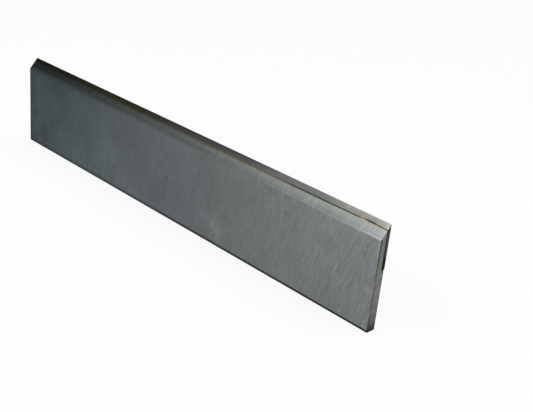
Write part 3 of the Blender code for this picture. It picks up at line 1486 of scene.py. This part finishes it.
@dataclass(frozen=True)
class FloorPaper:
    """Pale floor paper, which the camera and every mirror see nearly white, with the knife's shadow."""

    name: str = "floor_paper"
    colour: Colour = (0.93, 0.93, 0.93)
    roughness: float = 0.95
    whiteness: float = 0.90

    def build(self) -> bpy.types.Material:
        """Make the floor's material.

        Returns:
            The material, whose own light only the camera, glossy rays and rays through glass see.
        """
        material = bpy.data.materials.new(self.name)
        material.use_nodes = True
        tree = material.node_tree
        shader = tree.nodes["Principled BSDF"]
        shader.inputs["Base Color"].default_value = opaque(self.colour)
        shader.inputs["Roughness"].default_value = self.roughness
        sheet = NodeSheet(tree)
        path = sheet.node("LightPath").outputs
        seen = sheet.largest(path["Is Camera Ray"], path["Is Glossy Ray"], path["Is Transmission Ray"])
        glow = sheet.node("Emission", {"Color": opaque(WHITE), "Strength": 1.0})
        both = sheet.node("MixShader", {0: sheet.product(seen, self.whiteness), 1: shader.outputs[0],
                                        2: glow.outputs[0]})
        sheet.feed(tree.nodes["Material Output"].inputs["Surface"], both.outputs[0])
        return material


@dataclass
class DressedSolid:
    """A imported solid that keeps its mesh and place, and gets its finish and broken edges."""

    node: str
    finish: Finish
    edge_break: float
    break_steps: int = 2
    sharpest: float = math.radians(25)

    def dress(self, effects: SharedEffects) -> bpy.types.Object:
        """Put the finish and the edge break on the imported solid.

        Args:
            effects: the shared node groups.

        Returns:
            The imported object.
        """
        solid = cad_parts[self.node]
        material = self.finish.build(effects)
        for slot in solid.material_slots:
            slot.material = material
        rounding = solid.modifiers.new("edge_break", "BEVEL")
        rounding.width = self.edge_break
        rounding.segments = self.break_steps
        rounding.limit_method = "ANGLE"
        rounding.angle_limit = self.sharpest
        rounding.harden_normals = True
        return solid


@dataclass
class SteelBody(DressedSolid):
    """The flat steel body, with its edges just broken."""

    node: str = "steel_body"
    finish: Finish = GroundSteel("ground_steel_finish")
    edge_break: float = 0.03 * MM


@dataclass
class CarbideStrip(DressedSolid):
    """The carbide strip, with its edges honed."""

    node: str = "carbide_strip"
    finish: Finish = GroundCarbide("ground_carbide_finish", relief=0.003 * MM)
    edge_break: float = 0.02 * MM


@dataclass(frozen=True)
class BrazeVoid:
    """A small hollow in the open side of the braze, where the solder fell short."""

    middle: float
    reach: float
    extra: float

    def depth(self, x: float, share: float) -> float:
        """Added depth at one place.

        Args:
            x: place along the knife.
            share: place across the seam, from the steel at 0 to the carbide at 1.

        Returns:
            The depth in metres, deepest beside the carbide.
        """
        away = min(abs(x - self.middle) / self.reach, 1.0)
        return self.extra * (1.0 - away * away) ** 2 * share * share


@dataclass(frozen=True)
class Ripple:
    """The unevenness of the bead's open side: a slow and a quick wave along the knife."""

    slow_length: float = 4.0 * MM
    slow_height: float = 0.7
    quick_length: float = 0.7 * MM
    quick_height: float = 0.5
    quick_seed: float = 5.0
    quick_spread: float = 2.0

    def height(self, x: float, share: float, seed: float) -> float:
        """Height of both waves at one place.

        Args:
            x: place along the knife.
            share: place across the seam, from the steel at 0 to the carbide at 1.
            seed: keeps the two open sides apart.

        Returns:
            The height, about zero.
        """
        slow = noise.noise(Vector((x / self.slow_length, seed, share)))
        spot = (x / self.quick_length, seed + self.quick_seed, share * self.quick_spread)
        return self.slow_height * slow + self.quick_height * noise.noise(Vector(spot))


@dataclass
class BrazeBead:
    """The braze as it set: an uneven bead, sunk between steel and carbide, with small voids."""

    node: str = "braze_seam"
    slot: str = "copper_braze"
    finish: Finish = CopperBraze("copper_braze_finish", relief=0.01 * MM)
    step: float = 0.25 * MM
    corner_steps: int = 6
    wall_steps: int = 12
    open_steps: int = 4
    mean_sink: float = 0.045 * MM
    least_sink: float = 0.012 * MM
    sink_swing: float = 0.02 * MM
    meniscus: float = 0.02 * MM
    ripple: Ripple = Ripple()
    bevel_seed: float = 3.0
    back_seed: float = 11.0
    end_wave_y: float = 0.3 * MM
    end_wave_z: float = 0.9 * MM
    end_seed: float = 2.0
    crease: float = math.radians(40)
    voids: tuple[BrazeVoid, ...] = (
        BrazeVoid(74.5 * MM, 2.0 * MM, 0.05 * MM),
        BrazeVoid(41.0 * MM, 1.2 * MM, 0.05 * MM),
        BrazeVoid(-22.0 * MM, 1.8 * MM, 0.06 * MM),
    )

    def sink(self, x: float, share: float, seed: float) -> float:
        """How far the open side of the bead lies below the ground faces.

        Args:
            x: place along the knife.
            share: place across the seam, from the steel at 0 to the carbide at 1.
            seed: keeps the two open sides apart.

        Returns:
            The depth in metres.
        """
        depth = self.mean_sink + self.sink_swing * self.ripple.height(x, share, seed)
        depth += self.meniscus * (1.0 - (2.0 * share - 1.0) ** 2)
        depth += sum(void.depth(x, share) for void in self.voids)
        return max(depth, self.least_sink)

    def chain(self, wall_y: float, floor_z: float, radius: float) -> list[Pair]:
        """One long side of the section, from the back face round the corner up to the bevel.

        Args:
            wall_y: Y of the upright wall.
            floor_z: height of the level side.
            radius: radius of the corner between them.

        Returns:
            Points as Y and Z.
        """
        centre_y, centre_z = wall_y + radius, floor_z + radius
        points = [(KNIFE.back_y, floor_z)]
        for step in range(self.corner_steps + 1):
            turn = math.radians(270) - math.radians(90) * step / self.corner_steps
            points.append((centre_y + radius * math.cos(turn), centre_z + radius * math.sin(turn)))
        top = KNIFE.bevel_height(wall_y)
        for step in range(1, self.wall_steps + 1):
            points.append((wall_y, centre_z + (top - centre_z) * step / self.wall_steps))
        return points

    def ring(self, x: float, outer: list[Pair], inner: list[Pair]) -> list[Pair]:
        """The whole outline of the bead at one place along the knife.

        Args:
            x: place along the knife.
            outer: the side against the steel.
            inner: the side against the carbide.

        Returns:
            Points as Y and Z, in order round the section.
        """
        back = []
        top = []
        for step in range(self.open_steps + 1):
            share = step / self.open_steps
            z = outer[0][1] + (inner[0][1] - outer[0][1]) * share
            back.append((KNIFE.back_y - self.sink(x, share, self.back_seed), z))
            y = outer[-1][0] + (inner[-1][0] - outer[-1][0]) * share
            top.append((y, KNIFE.bevel_height(y, self.sink(x, share, self.bevel_seed))))
        return [*outer[1:-1], *top, *reversed(inner[1:-1]), *reversed(back)]

    def build(self, effects: SharedEffects) -> bpy.types.Object:
        """Loft the bead along the knife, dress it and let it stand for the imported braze.

        Args:
            effects: the shared node groups.

        Returns:
            The bead.
        """
        gap, corner = KNIFE.braze_thickness, KNIFE.strip_corner
        outer = self.chain(KNIFE.strip_front_y - gap, KNIFE.strip_bottom_z - gap, corner + gap)
        inner = self.chain(KNIFE.strip_front_y, KNIFE.strip_bottom_z, corner)
        shape = bmesh.new()
        half = KNIFE.length / 2 - self.mean_sink
        count = round(2 * half / self.step)
        rings = []
        for station in range(count + 1):
            x = -half + 2 * half * station / count
            at_end = station in (0, count)
            rings.append([self.vertex(shape, x, y, z, at_end) for y, z in self.ring(x, outer, inner)])
        around = len(rings[0])
        for left, right in zip(rings, rings[1:]):
            for here in range(around):
                ahead = (here + 1) % around
                shape.faces.new((left[here], left[ahead], right[ahead], right[here]))
        self.cap(shape, rings[0])
        self.cap(shape, rings[-1])
        bmesh.ops.recalc_face_normals(shape, faces=shape.faces)
        return self.place(shape, effects)

    def vertex(self, shape: bmesh.types.BMesh, x: float, y: float, z: float,
               at_end: bool) -> bmesh.types.BMVert:
        """Add one point of the bead, a little deeper or prouder where it ends.

        Args:
            shape: the bead so far.
            x: place along the knife.
            y: place across it.
            z: height.
            at_end: whether the point is on one of the bead's two ends.

        Returns:
            The new point.
        """
        if at_end:
            spot = (z / self.end_wave_z, y / self.end_wave_y, math.copysign(self.end_seed, x))
            x -= math.copysign(self.sink_swing * (0.5 + noise.noise(Vector(spot))), x)
        return shape.verts.new((x, y, z))

    def cap(self, shape: bmesh.types.BMesh, ring: list[bmesh.types.BMVert]) -> None:
        """Close one end of the bead with a strip of faces across the seam.

        Args:
            shape: the bead so far.
            ring: the points round its end.
        """
        side = self.corner_steps + self.wall_steps
        top = self.open_steps + 1
        outer = ring[:side]
        inner = ring[side + top:2 * side + top][::-1]
        for here in range(side - 1):
            shape.faces.new((outer[here], outer[here + 1], inner[here + 1], inner[here]))
        shape.faces.new((outer[-1], *ring[side:side + top], inner[-1]))
        shape.faces.new((inner[0], *ring[2 * side + top:], outer[0]))

    def place(self, shape: bmesh.types.BMesh, effects: SharedEffects) -> bpy.types.Object:
        """Turn the finished shape into an object that rides with the knife.

        Args:
            shape: the closed bead.
            effects: the shared node groups.

        Returns:
            The bead's object.
        """
        mesh = bpy.data.meshes.new("braze_bead")
        shape.to_mesh(mesh)
        shape.free()
        mesh.materials.append(self.finish.build(effects))
        mesh.shade_smooth()
        mesh.set_sharp_from_angle(angle=self.crease)
        bead = bpy.data.objects.new("braze_bead", mesh)
        bpy.context.scene.collection.objects.link(bead)
        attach(bead, "root")
        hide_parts(self.node)
        return bead


@dataclass(frozen=True)
class Softbox:
    """An area lamp given by its place, what it faces, its size and how bright its face is."""

    name: str
    place: tuple[float, float, float]
    faces: tuple[float, float, float]
    size: Pair
    brightness: float

    def build(self) -> bpy.types.Object:
        """Hang the lamp.

        Returns:
            The lamp.
        """
        lamp = bpy.data.lights.new(self.name, "AREA")
        lamp.shape = "RECTANGLE"
        lamp.size, lamp.size_y = self.size
        lamp.energy = self.brightness * math.pi * self.size[0] * self.size[1]
        hung = bpy.data.objects.new(self.name, lamp)
        hung.location = self.place
        hung.rotation_mode = "QUATERNION"
        hung.rotation_quaternion = (Vector(self.faces) - Vector(self.place)).to_track_quat("-Z", "Y")
        hung.visible_camera = False
        bpy.context.scene.collection.objects.link(hung)
        return hung


@dataclass
class Studio:
    """Floor, soft lamps and the dim room round them."""

    floor_reach: float = 4.5
    floor_drop: float = 0.01 * MM
    paper: FloorPaper = FloorPaper()
    lamps: tuple[Softbox, ...] = (
        Softbox("overhead_softbox", place=(0.30, 0.30, 0.95), faces=(0.10, 0.10, 0.0), size=(0.9, 0.9),
                brightness=2.6),
        Softbox("front_softbox", place=(-0.135, -0.45, 0.34), faces=(0.05, 0.0, 0.02), size=(0.42, 0.60),
                brightness=2.2),
    )
    room_tilt: float = 0.6
    room_light: Step = Step(-0.6, 1.1, 0.02, 0.34)

    def build(self) -> None:
        """Lay the floor, hang the lamps and light the room, and report each of them."""
        floor = self.lay_floor()
        LOG.info("%s laid", floor.name)
        for lamp in self.lamps:
            hung = lamp.build()
            LOG.info("%s hung at %s", hung.name, lamp.place)
        world = self.light_room()
        LOG.info("%s lit", world.name)

    def lay_floor(self) -> bpy.types.Object:
        """Lay the pale floor under the knife's foot.

        Returns:
            The floor, which isn't part of the knife.
        """
        reach = self.floor_reach
        mesh = bpy.data.meshes.new("studio_floor")
        corners = [(-reach, -reach, 0.0), (reach, -reach, 0.0), (reach, reach, 0.0), (-reach, reach, 0.0)]
        mesh.from_pydata(corners, [], [(0, 1, 2, 3)])
        mesh.materials.append(self.paper.build())
        floor = bpy.data.objects.new("studio_floor", mesh)
        floor.location.z = -self.floor_drop
        bpy.context.scene.collection.objects.link(floor)
        return floor

    def light_room(self) -> bpy.types.World:
        """Fill the room with dim light, darkest low down beyond the knife's far end.

        Returns:
            The scene's world.
        """
        world = bpy.data.worlds.new("studio_room")
        world.use_nodes = True
        bpy.context.scene.world = world
        sheet = NodeSheet(world.node_tree)
        x, _, z = sheet.split(sheet.node("TexCoord").outputs["Generated"])
        bright = self.room_light.read(sheet, sheet.total(sheet.product(x, self.room_tilt), z))
        background = world.node_tree.nodes["Background"]
        background.inputs["Color"].default_value = opaque(WHITE)
        sheet.feed(background.inputs["Strength"], bright)
        return world


@dataclass(frozen=True)
class PhotoCamera:
    """Camera at the photograph's angle, from the fit to the knife's edges."""

    place: tuple[float, float, float] = (200.531 * MM, -170.329 * MM, 123.336 * MM)
    heading: float = math.radians(43.475)
    pitch: float = math.radians(23.89)
    roll: float = math.radians(-5.983)
    focal_pixels: float = 936.181
    image_width: int = 533
    sensor: float = 36.0
    sight: Pair = (0.01, 20.0)

    def build(self) -> bpy.types.Object:
        """Set the camera up.

        Returns:
            The camera, which is also made the scene's own.
        """
        data = bpy.data.cameras.new("photo_camera")
        data.sensor_width = self.sensor
        data.lens = self.focal_pixels * self.sensor / self.image_width
        data.clip_start, data.clip_end = self.sight
        forward = Vector((-math.sin(self.heading) * math.cos(self.pitch),
                          math.cos(self.heading) * math.cos(self.pitch), -math.sin(self.pitch)))
        right = Vector((math.cos(self.heading), math.sin(self.heading), 0.0))
        down = forward.cross(right)
        turned_right = right * math.cos(self.roll) + down * math.sin(self.roll)
        turned_down = down * math.cos(self.roll) - right * math.sin(self.roll)
        turn = Matrix((turned_right, -turned_down, -forward)).transposed()
        camera = bpy.data.objects.new("photo_camera", data)
        camera.matrix_world = Matrix.Translation(self.place) @ turn.to_4x4()
        bpy.context.scene.collection.objects.link(camera)
        bpy.context.scene.camera = camera
        return camera


def main() -> None:
    """Dress the knife, build the bead and the studio, and set the camera, reporting each piece."""
    logging.basicConfig(level=logging.INFO, format="%(name)s: %(message)s")
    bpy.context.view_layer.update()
    effects = SharedEffects()
    for part in (SteelBody(), CarbideStrip()):
        solid = part.dress(effects)
        LOG.info("%s dressed with %s", solid.name, part.finish.name)
    bead = BrazeBead().build(effects)
    LOG.info("%s built with %d points", bead.name, len(bead.data.vertices))
    Studio().build()
    camera = PhotoCamera().build()
    LOG.info("%s set, lens %.2f mm", camera.name, camera.data.lens)
    bpy.context.scene.view_settings.view_transform = "Standard"


if __name__ == "__main__":
    main()
